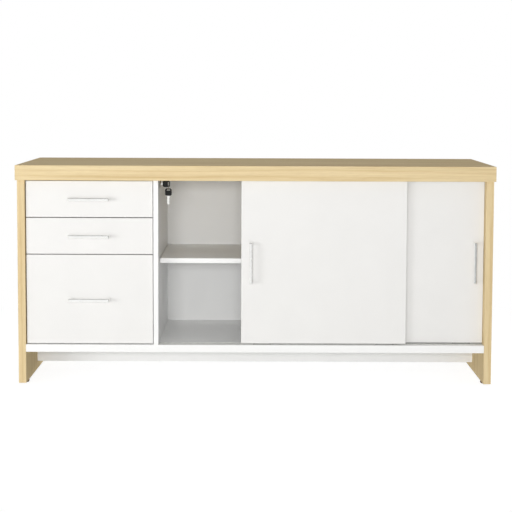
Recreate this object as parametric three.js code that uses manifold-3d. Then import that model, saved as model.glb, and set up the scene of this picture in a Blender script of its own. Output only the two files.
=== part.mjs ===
// Office credenza: three drawers on the left, a bay with two sliding doors on the right, on panel legs.
// Millimetres. X runs to the right, Y to the back and Z up. The floor is Z = 0.
// Depths are measured backwards from the front edge of the top and turned into Y by yAt().
import * as THREE from "three";
import { mergeVertices } from "three/addons/utils/BufferGeometryUtils.js";
import Module from "manifold-3d";

const wasm = await Module();
wasm.setup();

// Carcass
const TOP_WIDTH = 1600;
const TOP_DEPTH = 450;
const TOP_THICKNESS = 50;
const OVERALL_HEIGHT = 740;
const TOP_SIDE_OVERHANG = 5;
const TOP_FRONT_OVERHANG = 10;
const SIDE_THICKNESS = 25;
const BOTTOM_THICKNESS = 25;
const BOARD_THICKNESS = 16;
const BOTTOM_CLEARANCE = 111;
const DRAWER_BAY_WIDTH = 429;
const SKIRT_SETBACK = 212;
const SKIRT_CLEARANCE = 32;
const FIT = 0.3;

// Glides under the legs
const GLIDE_HEIGHT = 5;
const GLIDE_RADIUS = 16;
const GLIDE_BEVEL = 2;
const GLIDE_STEM_RADIUS = 4;
const GLIDE_STEM_LENGTH = 20;
const GLIDE_SETBACK = 40;

// Shelf on four pins
const SHELF_DOOR_GAP = 12;
const SHELF_END_GAP = 1.5;
const SHELF_PIN_RADIUS = 2.5;
const SHELF_PIN_INSET = 8;
const SHELF_PIN_REACH = 10;
const SHELF_PIN_SETBACK = 70;

// Fronts: drawer fronts and doors share a thickness, a recess and a reveal
const FRONT_THICKNESS = 16;
const FRONT_RECESS = 8;
const FRONT_GAP = 3;
const BOX_FRONT_HEIGHT = 121;

// Bow handles
const HANDLE_CENTRES = 128;
const HANDLE_WIDTH = 10.5;
const HANDLE_BAR_DEPTH = 8;
const HANDLE_POST = 9;
const HANDLE_PROJECTION = 32;
const DOOR_HANDLE_INSET = 32;

// Drawer boxes: folded steel sides that run inside steel channels
const DRAWER_BACK_GAP = 10;
const DRAWER_SHEET = 1.5;
const DRAWER_BOARD = 12;
const DRAWER_LEDGE = 14;
const DRAWER_BEAD = 4;
const DRAWER_RAISE = 12;
const BOX_SIDE_SHORTFALL = 35;
const FILE_SIDE_SHORTFALL = 50;
const RUNNER_SPACE = 13;
const RUNNER_RISE = 8;
const RUNNER_HEIGHT = 20;
const RUNNER_WEB_GAP = 1.5;
const FILE_FRAME_HEIGHT = 12;
const FILE_FRAME_THICKNESS = 3;

// Sliding doors, their shoes and the two tracks
const DOOR_GAP = 6;
const DOOR_END_GAP = 1;
const DOOR_OVERLAP = 15;
const FRONT_DOOR_OPENING = 277;
const DOOR_LIFT = 4.5;
const DOOR_TOP_ENTRY = 8;
const DOOR_SIDE_PLAY = 1;
const TRACK_WALL = 2;
const TOP_TRACK_HEIGHT = 12;
const BOTTOM_TRACK_HEIGHT = 8;
const SHOE_LENGTH = 60;
const SHOE_WIDTH = 8;
const SHOE_PLATE_WIDTH = 12;
const SHOE_PLATE_THICKNESS = 3;
const SHOE_SETBACK = 40;
const SHOE_PLAY = 0.5;

// Lock: a turning plug whose crank pin lifts a bar that blocks all three drawers
const LOCK_SETBACK = 85;
const LOCK_DROP = 17;
const LOCK_RADIUS = 9.5;
const LOCK_FLANGE_RADIUS = 11;
const LOCK_FLANGE_THICKNESS = 3;
const PLUG_RADIUS = 6;
const PLUG_DISC_THICKNESS = 1;
const CRANK_RADIUS = 5;
const CRANK_PIN_RADIUS = 1.9;
const CRANK_PLAY = 0.35;
const BAR_WIDTH = 12;
const BAR_THICKNESS = 3;
const BAR_SETBACK = 27;
const BAR_FOOT_GAP = 14;
const BAR_SINK = 1.5;
const BAR_DRAWER_GAP = 2.5;
const BAR_PLAY = 0.5;
const GROOVE_DEPTH = 6;
const BLOCK_PIN_RADIUS = 2.5;
const BLOCK_GAP = 1;
const CATCH_SIZE = 12;
const CATCH_THICKNESS = 6;
const CATCH_GAP = 2;

// Keys and their ring
const KEY_BOW_LENGTH = 25;
const KEY_BOW_WIDTH = 22.5;
const KEY_BOW_THICKNESS = 3;
const KEY_BOW_CORNER = 6;
const KEY_SLOT_LENGTH = 12;
const KEY_SLOT_WIDTH = 4;
const KEY_SLOT_BRIDGE = 3.3;
const KEY_STANDOFF = 9.3;
const KEY_BLADE_WIDTH = 8;
const KEY_BLADE_THICKNESS = 2;
const KEY_CUTS = [1.2, 2.1, 0.7, 1.6];
const KEY_CUT_STRETCH = 0.6; // share of the blade that holds the cuts
const CUT_FALL = 0.3; // shares of one cut's pitch where its floor starts, its floor ends and it is over
const CUT_FLOOR = 0.6;
const CUT_RISE = 0.9;
const RING_INNER_RADIUS = 7;
const RING_WIRE_RADIUS = 0.75;
const ROUND_SEGMENTS = 32;

// Depths from the front edge of the top
const carcassFront = TOP_FRONT_OVERHANG;
const frontFace = carcassFront + FRONT_RECESS;
const frontBack = frontFace + FRONT_THICKNESS;
const rearDoorFace = frontBack + DOOR_GAP;
const rearDoorBack = rearDoorFace + FRONT_THICKNESS;
const backPanelFace = TOP_DEPTH - BOARD_THICKNESS;
const shelfFront = rearDoorBack + SHELF_DOOR_GAP;
const handleFront = frontFace - HANDLE_PROJECTION;
const middleDepth = (handleFront + TOP_DEPTH) / 2;

// Heights
const openingBottom = BOTTOM_CLEARANCE + BOTTOM_THICKNESS;
const openingTop = OVERALL_HEIGHT - TOP_THICKNESS;
const shelfBottom = (openingBottom + openingTop - BOARD_THICKNESS) / 2;
const doorBottom = openingBottom + DOOR_LIFT;
const doorTop = openingTop + DOOR_TOP_ENTRY;
const doorHandleHeight = (doorBottom + openingTop) / 2;
const lockHeight = openingTop - LOCK_DROP;

// Widths
const outerX = TOP_WIDTH / 2 - TOP_SIDE_OVERHANG;
const innerX = outerX - SIDE_THICKNESS;
const dividerLeft = -innerX + DRAWER_BAY_WIDTH;
const dividerRight = dividerLeft + BOARD_THICKNESS;
const doorWidth = (innerX - dividerRight - 2 * DOOR_END_GAP + DOOR_OVERLAP) / 2;
const frontDoorLeft = dividerRight + DOOR_END_GAP + FRONT_DOOR_OPENING;
const rearDoorRight = innerX - DOOR_END_GAP;

const yAt = (depth) => depth - middleDepth;
const around = (middle, size) => [middle - size / 2, middle + size / 2];

// Materials
const material = (color, roughness, metalness = 0) =>
  new THREE.MeshStandardMaterial({ color, roughness, metalness });
const oak = material(0xdcc08c, 0.5);
const white = material(0xefeeea, 0.45);
const paintedSteel = material(0xe2e3e2, 0.4, 0.2);
const zincSteel = material(0xb9bcbe, 0.35, 0.9);
const satinMetal = material(0xd0d1d2, 0.28, 1);
const whitePlastic = material(0xe6e6e2, 0.5);
const darkPlastic = material(0x5a4638, 0.6);
const blackPlastic = material(0x1e2220, 0.45);
const greyPlastic = material(0x9e9e9b, 0.5);

// Solids
function slab(x, depth, z) {
  const geometry = new THREE.BoxGeometry(1, 1, 1);
  const corners = geometry.getAttribute("position");
  const pick = (value, range) => (value < 0 ? range[0] : range[1]);
  for (let i = 0; i < corners.count; i++) {
    const cornerX = pick(corners.getX(i), x);
    const cornerY = yAt(pick(corners.getY(i), depth));
    const cornerZ = pick(corners.getZ(i), z);
    corners.setXYZ(i, cornerX, cornerY, cornerZ);
  }
  return geometry;
}

function rod(radius, length, endRadius = radius) {
  return new THREE.CylinderGeometry(endRadius, radius, length, ROUND_SEGMENTS);
}

function rodAlongX(x, depth, z, radius) {
  const length = x[1] - x[0];
  return rod(radius, length).rotateZ(-Math.PI / 2).translate(x[0] + length / 2, yAt(depth), z);
}

function rodAlongZ(x, depth, z, radius, endRadius = radius) {
  const length = z[1] - z[0];
  return rod(radius, length, endRadius).rotateX(Math.PI / 2).translate(x, yAt(depth), z[0] + length / 2);
}

function extrude(shape, thickness) {
  return new THREE.ExtrudeGeometry(shape, { depth: thickness, bevelEnabled: false, curveSegments: 8 });
}

// An outline of x and z pairs, drawn out between two depths
function profileAlongDepth(outline, depth) {
  const shape = new THREE.Shape(outline.map(([x, z]) => new THREE.Vector2(x, z)));
  return extrude(shape, depth[1] - depth[0]).rotateX(Math.PI / 2).translate(0, yAt(depth[1]), 0);
}

function solidOf(geometry) {
  const bare = geometry.clone();
  bare.deleteAttribute("normal");
  bare.deleteAttribute("uv");
  const merged = mergeVertices(bare, 1e-4);
  return new wasm.Manifold(
    new wasm.Mesh({
      numProp: 3,
      vertProperties: new Float32Array(merged.getAttribute("position").array),
      triVerts: new Uint32Array(merged.index.array),
    }),
  );
}

function geometryOf(solid) {
  const mesh = solid.getMesh();
  const geometry = new THREE.BufferGeometry();
  geometry.setAttribute("position", new THREE.BufferAttribute(mesh.vertProperties, 3));
  geometry.setIndex(new THREE.BufferAttribute(mesh.triVerts, 1));
  geometry.computeVertexNormals();
  return geometry;
}

function join(first, ...others) {
  return geometryOf(others.reduce((solid, other) => solid.add(solidOf(other)), solidOf(first)));
}

function cut(first, ...tools) {
  return geometryOf(tools.reduce((solid, tool) => solid.subtract(solidOf(tool)), solidOf(first)));
}

const credenza = new THREE.Group();
credenza.name = "office_credenza";

function piece(name, geometry, look) {
  const mesh = new THREE.Mesh(geometry, look);
  mesh.name = name;
  credenza.add(mesh);
}

// Top, with the seat for the upper door track in its underside
const trackFront = frontFace - DOOR_SIDE_PLAY - TRACK_WALL;
const trackBack = rearDoorBack + DOOR_SIDE_PLAY + TRACK_WALL;
const trackEnds = [dividerRight + FIT, innerX - FIT];
const topTrackCeiling = openingTop + TOP_TRACK_HEIGHT;

function buildTop() {
  const board = slab([-TOP_WIDTH / 2, TOP_WIDTH / 2], [0, TOP_DEPTH], [openingTop, OVERALL_HEIGHT]);
  const seat = slab(
    [dividerRight, innerX],
    [trackFront - FIT, trackBack + FIT],
    [openingTop - FIT, topTrackCeiling + FIT],
  );
  piece("top_panel", cut(board, seat), oak);
}

// Panel legs with glides
const glideDepths = { front: carcassFront + GLIDE_SETBACK, back: TOP_DEPTH - GLIDE_SETBACK };
const glideX = outerX - SIDE_THICKNESS / 2;
const shelfPinDepths = { front: shelfFront + SHELF_PIN_SETBACK, back: backPanelFace - SHELF_PIN_SETBACK };
const shelfPinHeight = shelfBottom - SHELF_PIN_RADIUS - FIT;

function shelfPinHoles(faceX, direction) {
  const ends = [faceX - direction * FIT, faceX + direction * (SHELF_PIN_INSET + FIT)];
  const x = ends.sort((a, b) => a - b);
  return Object.values(shelfPinDepths).map((depth) =>
    rodAlongX(x, depth, shelfPinHeight, SHELF_PIN_RADIUS + FIT),
  );
}

function buildLegs() {
  for (const [side, direction] of [["left", -1], ["right", 1]]) {
    const x = [direction * innerX, direction * outerX].sort((a, b) => a - b);
    const board = slab(x, [carcassFront, TOP_DEPTH], [GLIDE_HEIGHT, openingTop]);
    const stemTop = GLIDE_HEIGHT + GLIDE_STEM_LENGTH;
    const holes = Object.values(glideDepths).map((depth) =>
      rodAlongZ(direction * glideX, depth, [0, stemTop + FIT], GLIDE_STEM_RADIUS + FIT),
    );
    const pinHoles = side === "right" ? shelfPinHoles(innerX, 1) : [];
    piece(`${side}_side_panel`, cut(board, ...holes, ...pinHoles), oak);
    for (const [end, depth] of Object.entries(glideDepths)) {
      const padTop = GLIDE_HEIGHT - FIT;
      const pad = rodAlongZ(direction * glideX, depth, [0, padTop], GLIDE_RADIUS - GLIDE_BEVEL, GLIDE_RADIUS);
      const stem = rodAlongZ(direction * glideX, depth, [padTop / 2, stemTop], GLIDE_STEM_RADIUS);
      piece(`${end}_${side}_glide`, join(pad, stem), darkPlastic);
    }
  }
}

// Bottom board with the seat for the lower door track, and the skirt board under it
const frontDoorMiddle = frontFace + FRONT_THICKNESS / 2;
const rearDoorMiddle = rearDoorFace + FRONT_THICKNESS / 2;
const shoeChannel = SHOE_WIDTH + 2 * SHOE_PLAY;
const bottomTrackDepth = [
  frontDoorMiddle - shoeChannel / 2 - TRACK_WALL,
  rearDoorMiddle + shoeChannel / 2 + TRACK_WALL,
];
const bottomTrackFloor = openingBottom - BOTTOM_TRACK_HEIGHT;

function buildBottom() {
  const board = slab([-innerX, innerX], [carcassFront, TOP_DEPTH], [BOTTOM_CLEARANCE, openingBottom]);
  const seat = slab(
    [dividerRight, innerX + FIT],
    [bottomTrackDepth[0] - FIT, bottomTrackDepth[1] + FIT],
    [bottomTrackFloor - FIT, openingBottom + FIT],
  );
  piece("bottom_panel", cut(board, seat), white);
  const skirtDepth = [SKIRT_SETBACK, SKIRT_SETBACK + BOARD_THICKNESS];
  piece("skirt_panel", slab([-innerX, innerX], skirtDepth, [SKIRT_CLEARANCE, BOTTOM_CLEARANCE]), white);
}

// Divider with the bar groove on the drawer side, the lock hole and the shelf pin holes
const barDepth = around(LOCK_SETBACK + BAR_SETBACK, BAR_WIDTH);

function buildDivider() {
  const board = slab([dividerLeft, dividerRight], [carcassFront, backPanelFace], [openingBottom, openingTop]);
  const groove = slab(
    [dividerLeft - FIT, dividerLeft + GROOVE_DEPTH],
    [barDepth[0] - BAR_PLAY, barDepth[1] + BAR_PLAY],
    [openingBottom - FIT, openingTop + FIT],
  );
  const lockHole = rodAlongX(
    [dividerLeft - FIT, dividerRight + FIT],
    LOCK_SETBACK,
    lockHeight,
    LOCK_RADIUS + FIT,
  );
  piece("divider_panel", cut(board, groove, lockHole, ...shelfPinHoles(dividerRight, -1)), white);
}

function buildBackAndShelf() {
  piece("back_panel", slab([-innerX, innerX], [backPanelFace, TOP_DEPTH], [openingBottom, openingTop]), white);
  const shelfX = [dividerRight + SHELF_END_GAP, innerX - SHELF_END_GAP];
  const shelfZ = [shelfBottom, shelfBottom + BOARD_THICKNESS];
  piece("shelf", slab(shelfX, [shelfFront, backPanelFace - FIT], shelfZ), white);
  const pinEnds = {
    left: [dividerRight - SHELF_PIN_INSET, dividerRight + SHELF_PIN_REACH],
    right: [innerX - SHELF_PIN_REACH, innerX + SHELF_PIN_INSET],
  };
  for (const [side, x] of Object.entries(pinEnds)) {
    for (const [end, depth] of Object.entries(shelfPinDepths)) {
      const pin = rodAlongX(x, depth, shelfPinHeight, SHELF_PIN_RADIUS);
      piece(`${end}_${side}_shelf_pin`, pin, zincSteel);
    }
  }
}

// Bow handle: a flat bar with a square post flush at each end, standing off the face at the given depth
function buildHandle(name, middleX, faceDepth, middleZ, upright) {
  const barDepths = [faceDepth - HANDLE_PROJECTION, faceDepth - HANDLE_PROJECTION + HANDLE_BAR_DEPTH];
  const postDepths = [barDepths[0] + HANDLE_BAR_DEPTH / 2, faceDepth];
  const block = (offset, length, depths) =>
    upright
      ? slab(around(middleX, HANDLE_WIDTH), depths, around(middleZ + offset, length))
      : slab(around(middleX + offset, length), depths, around(middleZ, HANDLE_WIDTH));
  const bar = block(0, HANDLE_CENTRES + HANDLE_POST, barDepths);
  const firstPost = block(-HANDLE_CENTRES / 2, HANDLE_POST, postDepths);
  const secondPost = block(HANDLE_CENTRES / 2, HANDLE_POST, postDepths);
  piece(name, join(bar, firstPost, secondPost), satinMetal);
}

// Drawers, from the top down. Each box stands on the ledges of its two steel sides.
const bayX = { left: -innerX, right: dividerLeft };
const drawerFrontX = [bayX.left + FRONT_GAP, bayX.right - FRONT_GAP];
const drawerBack = backPanelFace - DRAWER_BACK_GAP;
const topFrontBottom = openingTop - FRONT_GAP - BOX_FRONT_HEIGHT;
const middleFrontBottom = topFrontBottom - FRONT_GAP - BOX_FRONT_HEIGHT;
const fileFrontBottom = openingBottom + FRONT_GAP;
const fileFrontHeight = middleFrontBottom - FRONT_GAP - fileFrontBottom;
const drawers = [
  { name: "top_drawer", bottom: topFrontBottom, height: BOX_FRONT_HEIGHT, shortfall: BOX_SIDE_SHORTFALL },
  { name: "middle_drawer", bottom: middleFrontBottom, height: BOX_FRONT_HEIGHT, shortfall: BOX_SIDE_SHORTFALL },
  { name: "file_drawer", bottom: fileFrontBottom, height: fileFrontHeight, shortfall: FILE_SIDE_SHORTFALL },
];
const channelBottom = RUNNER_RISE - FIT - DRAWER_SHEET;
const channelTop = RUNNER_RISE + RUNNER_HEIGHT + FIT + DRAWER_SHEET;
const blockPinRise = channelTop + BLOCK_GAP + BLOCK_PIN_RADIUS;
const catchRise = blockPinRise + BLOCK_PIN_RADIUS + BLOCK_GAP;

// Points given as distance from the bay wall and height, for the left or the right wall
function fromWall(side, points, baseHeight) {
  const direction = side === "left" ? 1 : -1;
  return points.map(([distance, height]) => [bayX[side] + direction * distance, baseHeight + height]);
}

function sideOutline(height) {
  const outer = RUNNER_SPACE;
  const inner = outer + DRAWER_SHEET;
  const lip = RUNNER_WEB_GAP + DRAWER_SHEET;
  const runnerTop = RUNNER_RISE + RUNNER_HEIGHT;
  return [
    [outer, 0],
    [inner + DRAWER_LEDGE, 0],
    [inner + DRAWER_LEDGE, DRAWER_SHEET],
    [inner, DRAWER_SHEET],
    [inner, height - DRAWER_SHEET],
    [outer + DRAWER_BEAD, height - DRAWER_SHEET],
    [outer + DRAWER_BEAD, height],
    [outer, height],
    [outer, runnerTop],
    [lip, runnerTop],
    [lip, runnerTop - DRAWER_SHEET],
    [outer, runnerTop - DRAWER_SHEET],
    [outer, RUNNER_RISE + DRAWER_SHEET],
    [lip, RUNNER_RISE + DRAWER_SHEET],
    [lip, RUNNER_RISE],
    [outer, RUNNER_RISE],
  ];
}

function channelOutline() {
  const tip = RUNNER_SPACE - RUNNER_WEB_GAP;
  return [
    [0, channelBottom],
    [tip, channelBottom],
    [tip, channelBottom + DRAWER_SHEET],
    [DRAWER_SHEET, channelBottom + DRAWER_SHEET],
    [DRAWER_SHEET, channelTop - DRAWER_SHEET],
    [tip, channelTop - DRAWER_SHEET],
    [tip, channelTop],
    [0, channelTop],
  ];
}

function buildDrawer({ name, bottom, height, shortfall }) {
  const boxBottom = bottom + DRAWER_RAISE;
  const sideHeight = height - shortfall;
  piece(`${name}_front`, slab(drawerFrontX, [frontFace, frontBack], [bottom, bottom + height]), white);
  for (const side of ["left", "right"]) {
    const wall = profileAlongDepth(fromWall(side, sideOutline(sideHeight), boxBottom), [frontBack, drawerBack]);
    piece(`${name}_${side}_side`, wall, paintedSteel);
    const channelDepth = [frontBack + RUNNER_WEB_GAP, drawerBack + RUNNER_WEB_GAP];
    const channel = profileAlongDepth(fromWall(side, channelOutline(), boxBottom), channelDepth);
    piece(`${name}_${side}_runner`, channel, zincSteel);
  }
  const boardX = [
    bayX.left + RUNNER_SPACE + DRAWER_SHEET + FIT,
    bayX.right - RUNNER_SPACE - DRAWER_SHEET - FIT,
  ];
  const floor = boxBottom + DRAWER_SHEET + FIT;
  const floorTop = floor + DRAWER_BOARD;
  const rim = boxBottom + sideHeight - DRAWER_SHEET - FIT;
  piece(`${name}_bottom`, slab(boardX, [frontBack, drawerBack], [floor, floorTop]), white);
  piece(`${name}_back`, slab(boardX, [drawerBack - DRAWER_BOARD, drawerBack], [floorTop, rim]), white);
  buildHandle(
    `${name}_handle`,
    (drawerFrontX[0] + drawerFrontX[1]) / 2,
    frontFace,
    bottom + height / 2,
    false,
  );
  buildCatch(name, boxBottom);
}

// Catch on the outside of the right side, just behind the blocking pin of the lock bar
function buildCatch(name, boxBottom) {
  const outside = bayX.right - RUNNER_SPACE;
  const catchFront = LOCK_SETBACK + BAR_SETBACK + BLOCK_PIN_RADIUS + CATCH_GAP;
  const block = slab(
    [outside, outside + CATCH_THICKNESS],
    [catchFront, catchFront + CATCH_SIZE],
    [boxBottom + catchRise, boxBottom + catchRise + CATCH_SIZE],
  );
  piece(`${name}_lock_catch`, block, zincSteel);
}

// Frame for hanging folders, standing on the rims of the file drawer sides
function buildFileFrame() {
  const rim = fileFrontBottom + DRAWER_RAISE + fileFrontHeight - FILE_SIDE_SHORTFALL;
  const inset = RUNNER_SPACE + (DRAWER_BEAD - FILE_FRAME_THICKNESS) / 2;
  const outerFrameX = [bayX.left + inset, bayX.right - inset];
  const outerFrameDepth = [frontBack + FIT, drawerBack];
  const wall = FILE_FRAME_THICKNESS;
  const ring = slab(outerFrameX, outerFrameDepth, [rim + FIT, rim + FIT + FILE_FRAME_HEIGHT]);
  const opening = slab(
    [outerFrameX[0] + wall, outerFrameX[1] - wall],
    [outerFrameDepth[0] + wall, outerFrameDepth[1] - wall],
    [rim - FIT, rim + FILE_FRAME_HEIGHT + 2 * FIT],
  );
  piece("file_drawer_hanging_frame", cut(ring, opening), zincSteel);
}

// Door tracks: the upper one takes the full door thickness, the lower one takes the shoes
function buildTracks() {
  const upper = slab(trackEnds, [trackFront, trackBack], [openingTop, topTrackCeiling]);
  const upperChannels = [frontFace, rearDoorFace].map((face) =>
    slab(
      [trackEnds[0] - FIT, trackEnds[1] + FIT],
      [face - DOOR_SIDE_PLAY, face + FRONT_THICKNESS + DOOR_SIDE_PLAY],
      [openingTop - FIT, topTrackCeiling - TRACK_WALL],
    ),
  );
  piece("upper_door_track", cut(upper, ...upperChannels), whitePlastic);
  const lower = slab(trackEnds, bottomTrackDepth, [bottomTrackFloor, openingBottom]);
  const lowerChannels = [frontDoorMiddle, rearDoorMiddle].map((middle) =>
    slab(
      [trackEnds[0] - FIT, trackEnds[1] + FIT],
      around(middle, shoeChannel),
      [bottomTrackFloor + TRACK_WALL, openingBottom + FIT],
    ),
  );
  piece("lower_door_track", cut(lower, ...lowerChannels), whitePlastic);
}

function buildShoe(name, middleX, middleDoor) {
  const x = around(middleX, SHOE_LENGTH);
  const plate = slab(x, around(middleDoor, SHOE_PLATE_WIDTH), [doorBottom - SHOE_PLATE_THICKNESS, doorBottom]);
  const footBottom = bottomTrackFloor + TRACK_WALL + FIT;
  const foot = slab(x, around(middleDoor, SHOE_WIDTH), [footBottom, doorBottom - SHOE_PLATE_THICKNESS / 2]);
  piece(name, join(plate, foot), greyPlastic);
}

function buildDoor(name, left, face, handleX) {
  const right = left + doorWidth;
  piece(`${name}_panel`, slab([left, right], [face, face + FRONT_THICKNESS], [doorBottom, doorTop]), white);
  buildHandle(`${name}_handle`, handleX, face, doorHandleHeight, true);
  buildShoe(`${name}_left_shoe`, left + SHOE_SETBACK + SHOE_LENGTH / 2, face + FRONT_THICKNESS / 2);
  buildShoe(`${name}_right_shoe`, right - SHOE_SETBACK - SHOE_LENGTH / 2, face + FRONT_THICKNESS / 2);
}

// Lock, written with the distance from the drawer side of the divider towards the drawers
const headFar = RUNNER_SPACE - BAR_DRAWER_GAP;
const headNear = headFar - BAR_THICKNESS;
const discReach = headNear - 2 * FIT;
const barrelReach = discReach - PLUG_DISC_THICKNESS - FIT;
const plugFace = LOCK_FLANGE_THICKNESS + BLOCK_GAP;
const keyTip = barrelReach - BLOCK_GAP;
const keyBladeLength = KEY_STANDOFF + BOARD_THICKNESS + keyTip;
const crankSide = CRANK_RADIUS * Math.SQRT1_2;
const drawerSideX = (reach) => dividerLeft - reach;

function buildLock() {
  const axis = [LOCK_SETBACK, lockHeight];
  const body = rodAlongX([drawerSideX(barrelReach), dividerRight + BLOCK_GAP], ...axis, LOCK_RADIUS);
  const flangeX = [dividerRight + FIT, dividerRight + LOCK_FLANGE_THICKNESS];
  const flange = rodAlongX(flangeX, ...axis, LOCK_FLANGE_RADIUS);
  const boreX = [drawerSideX(barrelReach + FIT), dividerRight + plugFace];
  const bore = rodAlongX(boreX, ...axis, PLUG_RADIUS + FIT);
  piece("lock_barrel", cut(join(body, flange), bore), satinMetal);

  const core = rodAlongX([drawerSideX(discReach), dividerRight + plugFace], ...axis, PLUG_RADIUS);
  const discX = [drawerSideX(discReach), drawerSideX(barrelReach + FIT)];
  const disc = rodAlongX(discX, ...axis, CRANK_RADIUS + CRANK_PIN_RADIUS + CRANK_PLAY);
  const pinX = [drawerSideX(headFar + BLOCK_GAP), drawerSideX(discReach - PLUG_DISC_THICKNESS / 2)];
  const crankPin = rodAlongX(pinX, LOCK_SETBACK + crankSide, lockHeight - crankSide, CRANK_PIN_RADIUS);
  const keyway = slab(
    [drawerSideX(keyTip + FIT), dividerRight + plugFace + FIT],
    around(LOCK_SETBACK, KEY_BLADE_THICKNESS + 2 * FIT),
    around(lockHeight, KEY_BLADE_WIDTH + 2 * FIT),
  );
  piece("lock_plug", cut(join(core, disc, crankPin), keyway), satinMetal);
}

// Lock bar: runs in the groove, steps out of it above the top drawer's catch and carries the crank slot
function buildLockBar() {
  const grooveX = [drawerSideX(-BAR_SINK), drawerSideX(-BAR_SINK - BAR_THICKNESS)];
  const headBottom = lockHeight - CRANK_RADIUS - PLUG_RADIUS - LOCK_RADIUS / 2 - BAR_THICKNESS;
  const headTop = lockHeight + PLUG_RADIUS + BLOCK_GAP;
  const stepTop = headBottom + BAR_THICKNESS;
  const upright = slab(grooveX, barDepth, [openingBottom + BAR_FOOT_GAP, stepTop]);
  const step = slab([drawerSideX(headFar), grooveX[1]], barDepth, [headBottom, stepTop]);
  const headX = [drawerSideX(headFar), drawerSideX(headNear)];
  const head = slab(headX, [LOCK_SETBACK - PLUG_RADIUS, barDepth[1]], [headBottom, headTop]);
  const pins = drawers.map(({ bottom }) =>
    rodAlongX(
      [drawerSideX(headFar), grooveX[0] + BAR_THICKNESS / 2],
      LOCK_SETBACK + BAR_SETBACK,
      bottom + DRAWER_RAISE + blockPinRise,
      BLOCK_PIN_RADIUS,
    ),
  );
  const slotReach = CRANK_PIN_RADIUS + CRANK_PLAY;
  const slot = slab(
    [headX[0] - FIT, headX[1] + FIT],
    [LOCK_SETBACK + crankSide - slotReach, LOCK_SETBACK + CRANK_RADIUS + slotReach],
    around(lockHeight - crankSide, 2 * slotReach),
  );
  piece("lock_bar", cut(join(upright, step, head, ...pins), slot), zincSteel);
}

// Key drawn along its blade: the bow starts at 0 and the blade runs to the negative side
function keyGeometry() {
  const half = KEY_BOW_WIDTH / 2;
  const corner = KEY_BOW_CORNER;
  const bowShape = new THREE.Shape();
  bowShape.moveTo(corner, -half);
  bowShape.lineTo(KEY_BOW_LENGTH - corner, -half);
  bowShape.absarc(KEY_BOW_LENGTH - corner, -half + corner, corner, -Math.PI / 2, 0);
  bowShape.absarc(KEY_BOW_LENGTH - corner, half - corner, corner, 0, Math.PI / 2);
  bowShape.absarc(corner, half - corner, corner, Math.PI / 2, Math.PI);
  bowShape.absarc(corner, -half + corner, corner, Math.PI, 1.5 * Math.PI);
  const bow = extrude(bowShape, KEY_BOW_THICKNESS).translate(0, 0, -KEY_BOW_THICKNESS / 2);

  const slotEnd = KEY_BOW_LENGTH - KEY_SLOT_BRIDGE;
  const slot = new THREE.BoxGeometry(KEY_SLOT_WIDTH, KEY_SLOT_LENGTH, 2 * KEY_BOW_THICKNESS);
  slot.translate(slotEnd - KEY_SLOT_WIDTH / 2, 0, 0);

  const edge = KEY_BLADE_WIDTH / 2;
  const blade = new THREE.Shape();
  blade.moveTo(corner, edge);
  blade.lineTo(-keyBladeLength + edge, edge);
  blade.lineTo(-keyBladeLength, 0);
  blade.lineTo(-keyBladeLength + edge / 2, -edge);
  const cutPitch = (KEY_CUT_STRETCH * keyBladeLength) / KEY_CUTS.length;
  KEY_CUTS.forEach((cutDepth, index) => {
    const start = -keyBladeLength + edge + index * cutPitch;
    blade.lineTo(start, -edge);
    blade.lineTo(start + CUT_FALL * cutPitch, -edge + cutDepth);
    blade.lineTo(start + CUT_FLOOR * cutPitch, -edge + cutDepth);
    blade.lineTo(start + CUT_RISE * cutPitch, -edge);
  });
  blade.lineTo(corner, -edge);
  const shank = extrude(blade, KEY_BLADE_THICKNESS).translate(0, 0, -KEY_BLADE_THICKNESS / 2);
  return cut(join(bow, shank), slot).rotateX(Math.PI / 2);
}

// The ring hangs on the bow edge below the slot of the key in the lock, and the spare key hangs in the ring
const ringBridge = (KEY_BOW_WIDTH - KEY_SLOT_LENGTH) / 2;
const ringPivotHeight = lockHeight - KEY_BOW_WIDTH / 2 + ringBridge / 2;
const ringSlack = Math.hypot(ringBridge / 2, KEY_BOW_THICKNESS / 2) + FIT;
const ringHeight = ringPivotHeight + ringSlack - RING_INNER_RADIUS;
const slotMiddle = KEY_BOW_LENGTH - KEY_SLOT_BRIDGE - KEY_SLOT_WIDTH / 2;
const ringX = dividerRight + KEY_STANDOFF + slotMiddle;

function buildKeys() {
  const inLock = keyGeometry().translate(dividerRight + KEY_STANDOFF, yAt(LOCK_SETBACK), lockHeight);
  piece("key", inLock, blackPlastic);

  const ring = new THREE.TorusGeometry(
    RING_INNER_RADIUS + RING_WIRE_RADIUS,
    RING_WIRE_RADIUS,
    10,
    ROUND_SEGMENTS,
  );
  piece("key_ring", ring.rotateY(Math.PI / 2).translate(ringX, yAt(LOCK_SETBACK), ringHeight), satinMetal);

  const bridgeBottom = ringHeight - RING_INNER_RADIUS + FIT;
  const spareBase = bridgeBottom + KEY_SLOT_BRIDGE - KEY_BOW_LENGTH;
  const spare = keyGeometry().rotateY(-Math.PI / 2).translate(ringX, yAt(LOCK_SETBACK), spareBase);
  piece("spare_key", spare, blackPlastic);
}

buildTop();
buildLegs();
buildBottom();
buildDivider();
buildBackAndShelf();
drawers.forEach(buildDrawer);
buildFileFrame();
buildTracks();
buildDoor("front_door", frontDoorLeft, frontFace, frontDoorLeft + DOOR_HANDLE_INSET);
buildDoor("rear_door", rearDoorRight - doorWidth, rearDoorFace, rearDoorRight - DOOR_HANDLE_INSET);
buildLock();
buildLockBar();
buildKeys();

export default credenza;
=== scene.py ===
import math

import bmesh
import bpy
from mathutils import Matrix, Vector


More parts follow.
